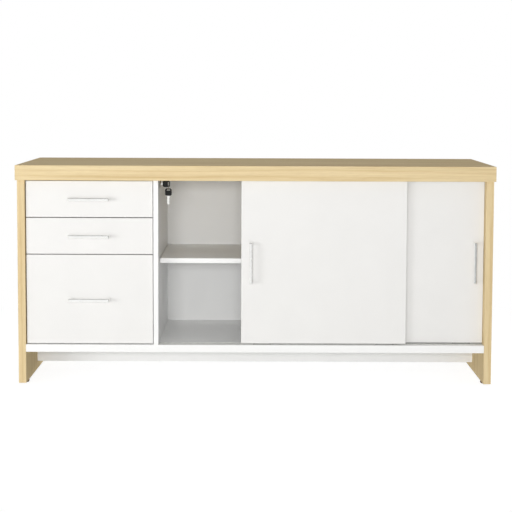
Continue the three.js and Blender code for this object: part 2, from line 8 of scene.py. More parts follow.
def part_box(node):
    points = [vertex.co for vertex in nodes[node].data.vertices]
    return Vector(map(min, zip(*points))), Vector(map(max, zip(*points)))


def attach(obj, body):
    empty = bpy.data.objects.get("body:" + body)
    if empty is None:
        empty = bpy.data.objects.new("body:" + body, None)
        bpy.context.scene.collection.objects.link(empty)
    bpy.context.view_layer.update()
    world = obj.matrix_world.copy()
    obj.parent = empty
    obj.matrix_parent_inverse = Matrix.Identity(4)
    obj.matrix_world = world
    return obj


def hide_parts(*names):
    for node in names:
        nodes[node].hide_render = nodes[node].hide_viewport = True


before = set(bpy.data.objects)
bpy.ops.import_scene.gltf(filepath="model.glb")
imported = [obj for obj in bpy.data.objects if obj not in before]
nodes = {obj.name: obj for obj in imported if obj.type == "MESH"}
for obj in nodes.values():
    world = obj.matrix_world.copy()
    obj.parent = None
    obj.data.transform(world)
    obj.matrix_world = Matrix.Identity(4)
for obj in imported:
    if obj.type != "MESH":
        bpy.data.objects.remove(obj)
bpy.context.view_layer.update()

MM = 0.001

# Colours, as sRGB from 0 to 255
OAK_PALE = (241, 223, 182)
OAK_MID = (233, 212, 168)
OAK_DARK = (211, 185, 138)
OAK_PORE = (178, 148, 104)
WHITE_FRONT = (240, 239, 237)
WHITE_BOARD = (251, 251, 250)
SATIN_METAL = (254, 254, 252)
PAINTED_STEEL = (224, 225, 224)
ZINC_PALE = (196, 200, 203)
ZINC_DARK = (160, 165, 170)
NICKEL = (214, 210, 202)
WHITE_PLASTIC = (232, 232, 228)
BROWN_PLASTIC = (108, 78, 60)
BLACK_PLASTIC = (42, 43, 42)
GREY_PLASTIC = (158, 158, 155)
KEY_STEEL = (250, 250, 246)
FLOOR_GREY = (228, 228, 226)

# Oak print: noise scales along, across and through the grain, lines per metre and how far they wander
OAK_WARP = (1.5, 15, 15)
OAK_BANDS = (1.3, 34, 34)
OAK_STREAKS = (5, 260, 260)
OAK_FIBRES = (16, 1500, 1500)
OAK_PORES = (30, 1100, 1100)
OAK_LINES = 95
OAK_WANDER = 5
# Where bands and lines take the dark, the middle and the pale shade
OAK_SHADES = (OAK_DARK, OAK_MID, OAK_PALE)
BAND_STOPS = (0.3, 0.48, 0.66)
LINE_STOPS = (0.0, 0.22, 0.8)
# How strongly the finer marks show, where a pore begins, roughness and relief
LINE_SHARE = 0.4
STREAK_SHARE = 0.34
FIBRE_SHARE = 0.12
PORE_SHARE = 0.35
PORE_START = 0.22
FIBRE_RELIEF = 0.3
OAK_GLOSS = (0.66, 0.58)
OAK_DEPTH = 0.06 * MM
# A face whose normal lies this much along X cuts across a level grain
END_FACING = 0.7

# Other surfaces: noise scales per metre, roughness or its change from low to high noise, relief depths,
# and how the clouds dim a colour, in levels for board and coat and as a factor for metal and plastic
BOARD_CLOUD = 9
BOARD_DIM = 2
BOARD_PEARL = 900
BOARD_GLOSS = (0.36, 0.46)
BOARD_DEPTH = 0.04 * MM
BRUSH_LINES = (20, 2600, 2600)
BRUSH_CLOUD = 40
BRUSH_DIM = 0.98
BRUSH_GLOSS = (-0.05, 0.07)
BRUSH_DEPTH = 0.02 * MM
COAT_PEEL = 420
COAT_CLOUD = 12
COAT_DIM = 7
COAT_GLOSS = (0.36, 0.5)
COAT_DEPTH = 0.12 * MM
ZINC_CELLS = 130
ZINC_STOPS = (0.1, 0.9)
ZINC_MARKS = (12, 700, 700)
ZINC_GLOSS = (0.3, 0.44)
ZINC_DEPTH = 0.03 * MM
PLASTIC_CLOUD = 60
PLASTIC_DIM = 0.93
PLASTIC_GLOSS = (-0.07, 0.08)
PLASTIC_DEPTH = 0.05 * MM
# The part of a noise's range that is used
NOISE_LOW = 0.3
NOISE_HIGH = 0.7

# Softened edges of the boards and metal, as bevel widths
EDGE_WIDTH = {
    "oak_laminate": 1.0 * MM,
    "white_laminate": 0.3 * MM,
    "satin_metal": 2.0 * MM,
    "white_plastic": 0.4 * MM,
    "bright_nickel": 0.4 * MM,
}
EDGE_STEPS = 3
EDGE_ANGLE = math.radians(40)
# Corners this close are joined, and faces within this angle are made one, so that the edges bevel evenly
WELD_REACH = 0.01 * MM
FLAT_ANGLE = math.radians(0.5)

# Keys: plastic bow with a raised rim and a slot, steel blade with a milled groove
BOW_LENGTH = 25 * MM
BOW_WIDTH = 22.5 * MM
BOW_THICKNESS = 3 * MM
BOW_CORNER = 6 * MM
BOW_EDGE = 0.7 * MM
BOW_EDGE_STEPS = 4
BOW_RIM = 2.2 * MM
BOW_RECESS = 0.35 * MM
# The bow's rings go at most this share of the way in to the slot
BOW_REACH = 0.8
SLOT_LENGTH = 12 * MM
SLOT_WIDTH = 4 * MM
SLOT_BRIDGE = 3.3 * MM
SLOT_CORNER = 0.3 * SLOT_WIDTH
BLADE_WIDTH = 8 * MM
BLADE_THICKNESS = 2 * MM
BLADE_CUTS = (1.2 * MM, 2.1 * MM, 0.7 * MM, 1.6 * MM)
# The share of the blade that is cut; a cut's floor and end are in shares of its pitch
BLADE_CUT_SHARE = 0.6
CUT_FLOOR_START = 0.3
CUT_FLOOR_END = 0.6
CUT_END = 0.9
GROOVE_WIDTH = 1.6 * MM
GROOVE_DEPTH = 0.5 * MM
GROOVE_SHARE = 0.88
GROOVE_START = 0.8 * MM
GROOVE_LOW = 0.2 * MM
GROOVE_CORNER = 0.3 * MM

# Split ring: wire radius, turns, steps in a turn, how sharply the wire crosses over, and sides of the wire
RING_WIRE = 0.38 * MM
RING_TURNS = 2
RING_STEPS = 40
RING_CROSSING = 4
RING_SIDES = 10

# Small fixings: domed screws with a cross recess, round cover caps, and the handles' screw centres
SCREW_RADIUS = 3.5 * MM
SCREW_DOME = 0.9 * MM
SCREW_RECESS = 1.9 * MM
SCREW_FLAT = 1.2 * SCREW_RECESS
SCREW_ARM = 0.24 * SCREW_RECESS
SCREW_TIP = 0.6 * SCREW_RECESS
SCREW_FLOOR = 0.2 * SCREW_DOME
SCREW_STEPS = 5
SCREW_SIDES = 24
CAP_RADIUS = 8 * MM
CAP_HEIGHT = 1.2 * MM
CAP_RIM = 0.35 * CAP_HEIGHT
CAP_FLAT = 0.55 * CAP_RADIUS
CAP_STEPS = 3
CAP_SIDES = 28
HANDLE_CENTRES = 128 * MM

# Where the back's screws sit: shares of its height at the divider, of the shelf's and of its own length
DIVIDER_SCREWS = (0.12, 0.5, 0.88)
SHELF_SCREWS = (0.2, 0.5, 0.8)
BACK_SCREWS = (0.06, 0.23, 0.4, 0.6, 0.8, 0.95)
# Screws from the back's lower edge; caps from the bottom's ends and edges, the skirt and its middle
SCREW_FROM_EDGE = 20 * MM
CAP_FROM_END = 34 * MM
CAP_FROM_EDGE = 60 * MM
CAP_FROM_SKIRT = 50 * MM
CAP_ABOVE_MIDDLE = 15 * MM

# Camera: found from the corners of the object in the photograph
CAMERA_PLACE = Vector((-6.1, -4006.5, 986.6)) * MM
CAMERA_TILT = math.radians(3.868)
CAMERA_TURN = math.radians(-0.108)
CAMERA_ROLL = math.radians(0.211)
CAMERA_LENS = 80.46
CAMERA_SENSOR = 36
CAMERA_DROP = -0.17

# Light: places, sizes and reaches in metres, powers in watts
LIGHTS = {
    "front_light": {"place": (-0.3, -4.6, 1.05), "size": (1.4, 0.8), "power": 79},
    "left_light": {"place": (-2.9, -2.9, 0.6), "size": (1.6, 0.9), "power": 31},
    "right_light": {"place": (4.0, 1.0, 0.42), "size": (1.4, 0.5), "power": 45},
    "back_light": {"place": (0.3, 4.4, 0.42), "size": (2.4, 0.5), "power": 62},
}
LIGHT_TARGET = (0.0, 0.0, 0.4)
WHITE_LIGHT = (1, 1, 1, 1)
AMBIENT = 0.48
# How the room darkens in gloss, by the direction's share along an axis: start, end, grey at the end
ROOM_FADES = {"Z": (0.28, 0.55, 0.08), "X": (0.11, 0.17, 0.3)}
FLOOR_REACH = 40.0
# The share of the floor's own white near the object; the rest is lit and takes the shadow
FLOOR_GLOW = 0.84
SHADOW_NEAR = 0.7
SHADOW_FAR = 1.6


def linear(colour):
    """Linear RGBA of an sRGB colour."""
    def channel(value):
        share = value / 255
        return share / 12.92 if share <= 0.04045 else ((share + 0.055) / 1.055) ** 2.4
    return (*(channel(value) for value in colour), 1.0)


class Surface:
    """A node material: one Principled shader, with short calls for the nodes that feed it."""

    def __init__(self, name, metallic=0.0, specular=0.5):
        self.material = bpy.data.materials.new(name)
        self.material.use_nodes = True
        self.nodes = self.material.node_tree.nodes
        self.links = self.material.node_tree.links
        self.shader = self.nodes["Principled BSDF"]
        self.shader.inputs["Metallic"].default_value = metallic
        self.shader.inputs["Specular IOR Level"].default_value = specular

    def feed(self, socket, value):
        """Links a socket to another one, or sets it to a plain value."""
        if isinstance(value, bpy.types.NodeSocket):
            self.links.new(value, socket)
        else:
            socket.default_value = value

    def point(self, order="xyz"):
        """Place on the object at rest, with its axes in the given order."""
        place = self.nodes.new("ShaderNodeTexCoord").outputs["Object"]
        if order == "xyz":
            return place
        parts = self.nodes.new("ShaderNodeSeparateXYZ")
        self.links.new(place, parts.inputs[0])
        joined = self.nodes.new("ShaderNodeCombineXYZ")
        for socket, axis in zip(joined.inputs, order.upper()):
            self.links.new(parts.outputs[axis], socket)
        return joined.outputs[0]

    def scaled(self, vector, scale):
        """A vector times a scale for each axis."""
        mapping = self.nodes.new("ShaderNodeMapping")
        self.feed(mapping.inputs["Vector"], vector)
        mapping.inputs["Scale"].default_value = scale
        return mapping.outputs[0]

    def noise(self, vector, scale=1.0, detail=2.0):
        texture = self.nodes.new("ShaderNodeTexNoise")
        self.feed(texture.inputs["Vector"], vector)
        texture.inputs["Scale"].default_value = scale
        texture.inputs["Detail"].default_value = detail
        return texture.outputs["Fac"]

    def calc(self, operation, first, second=0.0):
        """One step of arithmetic on sockets or plain values."""
        step = self.nodes.new("ShaderNodeMath")
        step.operation = operation
        self.feed(step.inputs[0], first)
        self.feed(step.inputs[1], second)
        return step.outputs[0]

    def spread(self, factor, low, high):
        """A number that runs from low to high over the used part of a noise's range."""
        span = self.nodes.new("ShaderNodeMapRange")
        self.feed(span.inputs["Value"], factor)
        span.inputs["From Min"].default_value = NOISE_LOW
        span.inputs["From Max"].default_value = NOISE_HIGH
        span.inputs["To Min"].default_value = low
        span.inputs["To Max"].default_value = high
        return span.outputs[0]

    def ramp(self, factor, *stops):
        """Colours blended between stops, each a place from 0 to 1 and a colour."""
        ramp = self.nodes.new("ShaderNodeValToRGB")
        self.feed(ramp.inputs[0], factor)
        elements = ramp.color_ramp.elements
        while len(elements) < len(stops):
            elements.new(1.0)
        for element, (place, colour) in zip(elements, stops):
            element.position = place
            element.color = linear(colour)
        return ramp.outputs[0]

    def clouded(self, cloud, dimmer, colour):
        """A colour that turns to a dimmer one where the cloud is low."""
        return self.ramp(cloud, (NOISE_LOW, dimmer), (NOISE_HIGH, colour))

    def mix(self, factor, first, second):
        blend = self.nodes.new("ShaderNodeMix")
        blend.data_type = "RGBA"
        self.feed(blend.inputs["Factor"], factor)
        self.feed(blend.inputs[6], first)
        self.feed(blend.inputs[7], second)
        return blend.outputs[2]

    def finish(self, colour, roughness, height, depth):
        """Sets the colour, the roughness and a relief of the given depth."""
        relief = self.nodes.new("ShaderNodeBump")
        relief.inputs["Distance"].default_value = depth
        self.links.new(height, relief.inputs["Height"])
        self.links.new(relief.outputs[0], self.shader.inputs["Normal"])
        self.feed(self.shader.inputs["Base Color"], colour)
        self.feed(self.shader.inputs["Roughness"], roughness)
        return self.material


def grain_point(surface, order):
    """Grain coordinates; faces that cut across a level grain take it along their own length."""
    if order != "xyz":
        return surface.point(order)
    normal = surface.nodes.new("ShaderNodeTexCoord").outputs["Normal"]
    parts = surface.nodes.new("ShaderNodeSeparateXYZ")
    surface.links.new(normal, parts.inputs[0])
    is_end = surface.calc("GREATER_THAN", surface.calc("ABSOLUTE", parts.outputs["X"]), END_FACING)
    choice = surface.nodes.new("ShaderNodeMix")
    choice.data_type = "VECTOR"
    surface.feed(choice.inputs["Factor"], is_end)
    surface.feed(choice.inputs[4], surface.point("xyz"))
    surface.feed(choice.inputs[5], surface.point("yxz"))
    return choice.outputs[1]


def oak_laminate(name, order):
    """Pale oak print: bands, growth lines, fibres and pores drawn out along the first axis."""
    surface = Surface(name, specular=0.03)
    place = grain_point(surface, order)
    parts = surface.nodes.new("ShaderNodeSeparateXYZ")
    surface.links.new(place, parts.inputs[0])
    across = surface.calc("ADD", parts.outputs["Y"], parts.outputs["Z"])
    warp = surface.noise(surface.scaled(place, OAK_WARP), detail=3)
    wander = surface.calc("MULTIPLY", warp, OAK_WANDER)
    phase = surface.calc("ADD", surface.calc("MULTIPLY", across, OAK_LINES), wander)
    lines = surface.calc("PINGPONG", phase, 1.0)
    bands = surface.noise(surface.scaled(place, OAK_BANDS), detail=4)
    streaks = surface.noise(surface.scaled(place, OAK_STREAKS), detail=3)
    fibres = surface.noise(surface.scaled(place, OAK_FIBRES), detail=2)
    pores = surface.noise(surface.scaled(place, OAK_PORES), detail=1)
    colour = surface.ramp(bands, *zip(BAND_STOPS, OAK_SHADES))
    drawn = surface.ramp(lines, *zip(LINE_STOPS, OAK_SHADES))
    colour = surface.mix(LINE_SHARE, colour, drawn)
    colour = surface.mix(surface.spread(streaks, STREAK_SHARE, 0.0), colour, linear(OAK_DARK))
    colour = surface.mix(surface.spread(fibres, FIBRE_SHARE, 0.0), colour, linear(OAK_PORE))
    is_pore = surface.spread(surface.calc("SUBTRACT", pores, PORE_START), 0.0, 1.0)
    colour = surface.mix(surface.calc("MULTIPLY", is_pore, PORE_SHARE), colour, linear(OAK_PORE))
    relief = surface.calc("SUBTRACT", surface.calc("MULTIPLY", fibres, FIBRE_RELIEF), is_pore)
    return surface.finish(colour, surface.spread(streaks, *OAK_GLOSS), relief, OAK_DEPTH)


def white_laminate(name, colour):
    """White board: a faint cloud in the print and a fine pearl press."""
    surface = Surface(name, specular=0.4)
    cloud = surface.noise(surface.point(), scale=BOARD_CLOUD, detail=4)
    pearl = surface.noise(surface.point(), scale=BOARD_PEARL, detail=2)
    dimmer = tuple(value - BOARD_DIM for value in colour)
    shade = surface.clouded(cloud, dimmer, colour)
    return surface.finish(shade, surface.spread(pearl, *BOARD_GLOSS), pearl, BOARD_DEPTH)


def brushed_metal(name, order, colour, roughness):
    """Metal with fine brush lines along the first axis."""
    surface = Surface(name, metallic=1.0)
    lines = surface.noise(surface.scaled(surface.point(order), BRUSH_LINES), detail=3)
    cloud = surface.noise(surface.point(), scale=BRUSH_CLOUD, detail=2)
    dimmer = tuple(BRUSH_DIM * value for value in colour)
    shade = surface.clouded(cloud, dimmer, colour)
    gloss = [roughness + change for change in BRUSH_GLOSS]
    return surface.finish(shade, surface.spread(lines, *gloss), lines, BRUSH_DEPTH)


def painted_steel(name):
    """Powder coat with an orange-peel skin."""
    surface = Surface(name, specular=0.5)
    peel = surface.noise(surface.point(), scale=COAT_PEEL, detail=2)
    cloud = surface.noise(surface.point(), scale=COAT_CLOUD, detail=3)
    dimmer = tuple(value - COAT_DIM for value in PAINTED_STEEL)
    shade = surface.clouded(cloud, dimmer, PAINTED_STEEL)
    return surface.finish(shade, surface.spread(peel, *COAT_GLOSS), peel, COAT_DEPTH)


def zinc_steel(name):
    """Zinc plate: soft spangle patches and rolling marks."""
    surface = Surface(name, metallic=1.0)
    cells = surface.nodes.new("ShaderNodeTexVoronoi")
    surface.feed(cells.inputs["Vector"], surface.point())
    cells.inputs["Scale"].default_value = ZINC_CELLS
    parts = surface.nodes.new("ShaderNodeSeparateXYZ")
    surface.links.new(cells.outputs["Color"], parts.inputs[0])
    marks = surface.noise(surface.scaled(surface.point("yxz"), ZINC_MARKS), detail=2)
    shade = surface.ramp(parts.outputs["X"], *zip(ZINC_STOPS, (ZINC_DARK, ZINC_PALE)))
    return surface.finish(shade, surface.spread(marks, *ZINC_GLOSS), marks, ZINC_DEPTH)


def moulded_plastic(name, colour, roughness, grain_scale):
    """Plastic with a fine spark-eroded grain and slightly uneven gloss."""
    surface = Surface(name, specular=0.25)
    grain = surface.noise(surface.point(), scale=grain_scale, detail=2)
    cloud = surface.noise(surface.point(), scale=PLASTIC_CLOUD, detail=2)
    dimmer = tuple(PLASTIC_DIM * value for value in colour)
    shade = surface.clouded(cloud, dimmer, colour)
    gloss = [roughness + change for change in PLASTIC_GLOSS]
    return surface.finish(shade, surface.spread(grain, *gloss), grain, PLASTIC_DEPTH)


looks = {
    "oak_laminate": oak_laminate("oak_level", "xyz"),
    "oak_upright": oak_laminate("oak_upright", "zyx"),
    "white_laminate": white_laminate("white_board", WHITE_BOARD),
    "white_front": white_laminate("white_front", WHITE_FRONT),
    "satin_metal": brushed_metal("satin_metal_level", "xyz", SATIN_METAL, 0.24),
    "satin_upright": brushed_metal("satin_metal_upright", "zyx", SATIN_METAL, 0.24),
    "painted_steel": painted_steel("painted_steel_coat"),
    "zinc_steel": zinc_steel("zinc_plate"),
    "bright_nickel": brushed_metal("nickel_plate", "xyz", NICKEL, 0.16),
    "white_plastic": moulded_plastic("white_nylon", WHITE_PLASTIC, 0.45, 700),
    "brown_plastic": moulded_plastic("brown_nylon", BROWN_PLASTIC, 0.5, 700),
    "black_plastic": moulded_plastic("black_key_plastic", BLACK_PLASTIC, 0.42, 900),
    "grey_plastic": moulded_plastic("grey_shoe_plastic", GREY_PLASTIC, 0.5, 700),
    "key_steel": brushed_metal("key_blade_steel", "xyz", KEY_STEEL, 0.2),
}


def look_name(node_name, slot):
    """The look of a solid: its slot's, or the one for upright grain or for a front."""
    if node_name.endswith("side_panel"):
        return "oak_upright"
    if node_name.endswith("door_handle"):
        return "satin_upright"
    if node_name.endswith(("drawer_front", "door_panel")):
        return "white_front"
    return slot


def dress_solids():
    """Gives every solid its look, and softens the edges of boards and metal."""
    for name, solid in nodes.items():
        slot = solid.material_slots[0].material.name
        solid.material_slots[0].material = looks[look_name(name, slot)]
        if slot in EDGE_WIDTH:
            weld = solid.modifiers.new("weld", "WELD")
            weld.merge_threshold = WELD_REACH
            flatten = solid.modifiers.new("whole_faces", "DECIMATE")
            flatten.decimate_type = "DISSOLVE"
            flatten.angle_limit = FLAT_ANGLE
            bevel = solid.modifiers.new("soft_edges", "BEVEL")
            bevel.width = EDGE_WIDTH[slot]
            bevel.segments = EDGE_STEPS
            bevel.limit_method = "ANGLE"
            bevel.angle_limit = EDGE_ANGLE


def add_piece(name, shape, look, body, replaced=(), sharp_angle=35):
    """Makes a piece of a bmesh, shades it and lets it ride on a body."""
    bmesh.ops.recalc_face_normals(shape, faces=shape.faces)
    mesh = bpy.data.meshes.new(name)
    shape.to_mesh(mesh)
    shape.free()
    for face in mesh.polygons:
        face.use_smooth = True
    mesh.set_sharp_from_angle(angle=math.radians(sharp_angle))
    mesh.materials.append(looks[look])
    made = bpy.data.objects.new(name, mesh)
    bpy.context.scene.collection.objects.link(made)
    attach(made, body)
    if replaced:
        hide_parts(*replaced)


def loft(shape, rings, close_rings=False):
    """Joins rings of points, each with as many points, into a skin; optionally last to first."""
    made = [[shape.verts.new(point) for point in ring] for ring in rings]
    pairs = list(zip(made, made[1:]))
    if close_rings:
        pairs.append((made[-1], made[0]))
    for first, second in pairs:
        for index in range(len(first)):
            after = (index + 1) % len(first)
            shape.faces.new((first[index], first[after], second[after], second[index]))
    return made


def fill_between(shape, outer, inner):
    """Fills the flat face between two rings of corners."""
    edges = []
    for ring in (outer, inner):
        for index, corner in enumerate(ring):
            after = ring[(index + 1) % len(ring)]
            edges.append(shape.edges.get((corner, after)))
    bmesh.ops.triangle_fill(shape, edges=edges, use_beauty=True)


def circle(radius, height, sides):
    """Points round local Z at a height."""
    turns = (2 * math.pi * index / sides for index in range(sides))
    return [Vector((radius * math.cos(turn), radius * math.sin(turn), height)) for turn in turns]


def add_cap(shape, place):
    """A cover cap with a rounded rim, standing on local Z = 0."""
    profile = [(CAP_RADIUS, 0), (CAP_RADIUS, CAP_HEIGHT - CAP_RIM)]
    for step in range(1, CAP_STEPS + 1):
        turn = step / CAP_STEPS * math.pi / 2
        radius = CAP_RADIUS - CAP_RIM * (1 - math.cos(turn))
        profile.append((radius, CAP_HEIGHT - CAP_RIM * (1 - math.sin(turn))))
    profile.append((CAP_FLAT, CAP_HEIGHT))
    rings = [circle(radius, height, CAP_SIDES) for radius, height in profile]
    made = loft(shape, [[place @ point for point in ring] for ring in rings])
    shape.faces.new(made[0])
    shape.faces.new(made[-1])


def cross_outline(reach, arm, height):
    """The twelve corners of a plus sign."""
    corners = []
    for quarter in range(4):
        turn = Matrix.Rotation(quarter * math.pi / 2, 4, "Z")
        for x, y in ((reach, -arm), (reach, arm), (arm, arm)):
            corners.append(turn @ Vector((x, y, height)))
    return corners


def add_screw(shape, place):
    """A domed screw head with a cross recess, standing on local Z = 0."""
    rings = []
    for step in range(SCREW_STEPS + 1):
        turn = step / SCREW_STEPS * math.pi / 2
        radius = SCREW_FLAT + (SCREW_RADIUS - SCREW_FLAT) * math.cos(turn)
        rings.append(circle(radius, SCREW_DOME * math.sin(turn), SCREW_SIDES))
    made = loft(shape, [[place @ point for point in ring] for ring in rings])
    shape.faces.new(made[0])
    mouth = [place @ corner for corner in cross_outline(SCREW_RECESS, SCREW_ARM, SCREW_DOME)]
    floor = [place @ corner for corner in cross_outline(SCREW_TIP, SCREW_ARM, SCREW_FLOOR)]
    recess = loft(shape, [mouth, floor])
    shape.faces.new(recess[-1])
    fill_between(shape, made[-1], recess[0])


def facing(place, direction):
    """A matrix that stands local Z along a direction at a place."""
    return Matrix.Translation(place) @ Vector(direction).to_track_quat("Z", "Y").to_matrix().to_4x4()


def add_fixings(name, adder, places, direction, look, body):
    """Makes one piece of fixings that are alike, each standing along the direction."""
    shape = bmesh.new()
    for place in places:
        adder(shape, facing(Vector(place), direction))
    add_piece(name, shape, look, body)


def middle(node):
    """The middle of a solid's box."""
    low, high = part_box(node)
    return (low + high) / 2


def add_all_fixings():
    """Screws on the back and behind the handles, cover caps under the bottom and behind the skirt."""
    back_low, back_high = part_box("back_panel")
    divider = middle("divider_panel")
    shelf = middle("shelf")
    shelf_low, shelf_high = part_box("shelf")
    height = back_high.z - back_low.z
    places = [(divider.x, back_high.y, back_low.z + share * height) for share in DIVIDER_SCREWS]
    length = shelf_high.x - shelf_low.x
    places += [(shelf_low.x + share * length, back_high.y, shelf.z) for share in SHELF_SCREWS]
    for share in BACK_SCREWS:
        x = back_low.x + share * (back_high.x - back_low.x)
        places.append((x, back_high.y, back_low.z + SCREW_FROM_EDGE))
    add_fixings("back_panel_screws", add_screw, places, (0, 1, 0), "zinc_steel", "carcass")

    bottom_low, bottom_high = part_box("bottom_panel")
    skirt_low, skirt_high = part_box("skirt_panel")
    ends = (bottom_low.x + CAP_FROM_END, bottom_high.x - CAP_FROM_END)
    edge_depths = (bottom_low.y + CAP_FROM_EDGE, bottom_high.y - CAP_FROM_EDGE)
    skirt_depths = (skirt_low.y - CAP_FROM_SKIRT, skirt_high.y + CAP_FROM_SKIRT)
    depths = (edge_depths[0], *skirt_depths, edge_depths[1])
    places = [(x, y, bottom_low.z) for x in ends for y in depths]
    add_fixings("bottom_cam_caps", add_cap, places, (0, 0, -1), "white_plastic", "carcass")
    skirt_x = (ends[0], 0.5 * ends[0], 0.0, 0.5 * ends[1], ends[1])
    skirt_z = middle("skirt_panel").z + CAP_ABOVE_MIDDLE
    places = [(x, skirt_high.y, skirt_z) for x in skirt_x]
    add_fixings("skirt_cam_caps", add_cap, places, (0, 1, 0), "white_plastic", "carcass")

    for body in ("top_drawer", "middle_drawer", "file_drawer"):
        front_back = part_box(f"{body}_front")[1].y
        centre = middle(f"{body}_handle")
        places = [(centre.x + side * HANDLE_CENTRES / 2, front_back, centre.z) for side in (-1, 1)]
        add_fixings(f"{body}_handle_screws", add_screw, places, (0, 1, 0), "zinc_steel", body)
    for body in ("front_door", "rear_door"):
        door_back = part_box(f"{body}_panel")[1].y
        centre = middle(f"{body}_handle")
        places = [(centre.x, door_back, centre.z + side * HANDLE_CENTRES / 2) for side in (-1, 1)]
        add_fixings(f"{body}_handle_screws", add_screw, places, (0, 1, 0), "zinc_steel", body)


def rounded_rectangle(low, high, corner, steps=6):
    """Points round a rectangle with round corners, from x and z limits."""
    points = []
    quarters = ((high[0], low[1], -1), (high[0], high[1], 0), (low[0], high[1], 1), (low[0], low[1], 2))
    for x, z, quarter in quarters:
        centre_x = x - corner if x == high[0] else x + corner
        centre_z = z - corner if z == high[1] else z + corner
        for step in range(steps + 1):
            turn = (quarter + step / steps) * math.pi / 2
            points.append((centre_x + corner * math.cos(turn), centre_z + corner * math.sin(turn)))
    return points


def bow_shape(place):
    """The plastic bow: a rim, a recessed middle and a slot. Local X runs along the key, Z across it."""
    outer = rounded_rectangle((0, -BOW_WIDTH / 2), (BOW_LENGTH, BOW_WIDTH / 2), BOW_CORNER)
    slot_high = BOW_LENGTH - SLOT_BRIDGE
    slot = rounded_rectangle(
        (slot_high - SLOT_WIDTH, -SLOT_LENGTH / 2), (slot_high, SLOT_LENGTH / 2), SLOT_CORNER
    )
    half = BOW_THICKNESS / 2
    profile = [(0.0, half - BOW_EDGE)]
    for step in range(1, BOW_EDGE_STEPS + 1):
        turn = step / BOW_EDGE_STEPS * math.pi / 2
        profile.append((BOW_EDGE * (1 - math.cos(turn)), half - BOW_EDGE * (1 - math.sin(turn))))
    profile += [(BOW_RIM, half), (BOW_RIM + BOW_RECESS, half - BOW_RECESS)]

    def ring(inset, height):
        points = []
        for (x, z), (slot_x, slot_z) in zip(outer, slot):
            way = Vector((slot_x - x, 0, slot_z - z))
            share = min(inset / way.length, BOW_REACH)
            points.append(place @ Vector((x + share * way.x, height, z + share * way.z)))
        return points

    def slot_ring(height):
        return [place @ Vector((x, height, z)) for x, z in slot]

    upper = [ring(inset, height) for inset, height in profile]
    lower = [ring(inset, -height) for inset, height in reversed(profile)]
    rings = upper + [slot_ring(half - BOW_RECESS), slot_ring(-half + BOW_RECESS)] + lower
    shape = bmesh.new()
    loft(shape, rings, close_rings=True)
    return shape


def blade_outline(length):
    """Corners of the blade in x and z: a point, four cuts below and a plain back above."""
    edge = BLADE_WIDTH / 2
    points = [(0, edge), (-length + edge, edge), (-length, 0), (-length + edge / 2, -edge)]
    pitch = BLADE_CUT_SHARE * length / len(BLADE_CUTS)
    for index, cut in enumerate(BLADE_CUTS):
        start = -length + edge + index * pitch
        points.append((start, -edge))
        points.append((start + CUT_FLOOR_START * pitch, -edge + cut))
        points.append((start + CUT_FLOOR_END * pitch, -edge + cut))
        points.append((start + CUT_END * pitch, -edge))
    points.append((0, -edge))
    return points


def blade_shape(place, length):
    """The steel blade with a milled groove along each side."""
    outline = blade_outline(length)
    half = BLADE_THICKNESS / 2
    shape = bmesh.new()
    low_ring = [place @ Vector((x, -half, z)) for x, z in outline]
    high_ring = [place @ Vector((x, half, z)) for x, z in outline]
    made = loft(shape, [low_ring, high_ring])
    groove_low = (-GROOVE_SHARE * length, GROOVE_LOW)
    groove_high = (-GROOVE_START, GROOVE_LOW + GROOVE_WIDTH)
    groove = rounded_rectangle(groove_low, groove_high, GROOVE_CORNER, steps=2)
    for ring, height in ((made[0], -half), (made[1], half)):
        floor_height = height * (1 - GROOVE_DEPTH / half)
        mouth = [place @ Vector((x, height, z)) for x, z in groove]
        floor = [place @ Vector((x, floor_height, z)) for x, z in groove]
        milled = loft(shape, [mouth, floor])
        shape.faces.new(milled[-1])
        fill_between(shape, ring, milled[0])
    return shape


def add_key(node, body, upright):
    """Plastic bow and steel blade in the place of a solid key."""
    low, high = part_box(node)
    centre = (low + high) / 2
    if upright:
        base = Vector((centre.x, centre.y, high.z - BOW_LENGTH))
        length = base.z - low.z
        place = Matrix.Translation(base) @ Matrix.Rotation(-math.pi / 2, 4, "Y")
    else:
        base = Vector((high.x - BOW_LENGTH, centre.y, centre.z))
        length = base.x - low.x
        place = Matrix.Translation(base)
    add_piece(f"{node}_bow", bow_shape(place), "black_plastic", body, (node,))
    add_piece(f"{node}_blade", blade_shape(place, length), "key_steel", body, (node,))


def add_key_ring():
    """Split ring: turns of thin wire side by side."""
    low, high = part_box("key_ring")
    centre = (low + high) / 2
    radius = (high.z - low.z) / 2 - RING_WIRE
    steps = RING_STEPS * RING_TURNS
    shape = bmesh.new()
    rings = []
    for step in range(steps + 1):
        turn = 2 * math.pi * RING_TURNS * step / steps
        outward = Vector((0, math.cos(turn), math.sin(turn)))
        side = RING_WIRE * math.tanh(RING_CROSSING * (2 * step / steps - 1))
        core = centre + radius * outward + Vector((side, 0, 0))
        ring = []
        for point in circle(RING_WIRE, 0, RING_SIDES):
            ring.append(core + point.x * outward + Vector((point.y, 0, 0)))
        rings.append(ring)
    made = loft(shape, rings)
    shape.faces.new(made[0])
    shape.faces.new(made[-1])
    add_piece(
        "split_key_ring", shape, "bright_nickel", "key_ring", ("key_ring",), sharp_angle=60
    )


def seen_directly(tree):
    """1 for rays from the camera, a gloss or a clear surface, and 0 for light that falls on things."""
    path = tree.nodes.new("ShaderNodeLightPath")
    total = path.outputs["Is Camera Ray"]
    for other in ("Is Glossy Ray", "Is Transmission Ray"):
        step = tree.nodes.new("ShaderNodeMath")
        step.operation = "MAXIMUM"
        tree.links.new(total, step.inputs[0])
        tree.links.new(path.outputs[other], step.inputs[1])
        total = step.outputs[0]
    return total


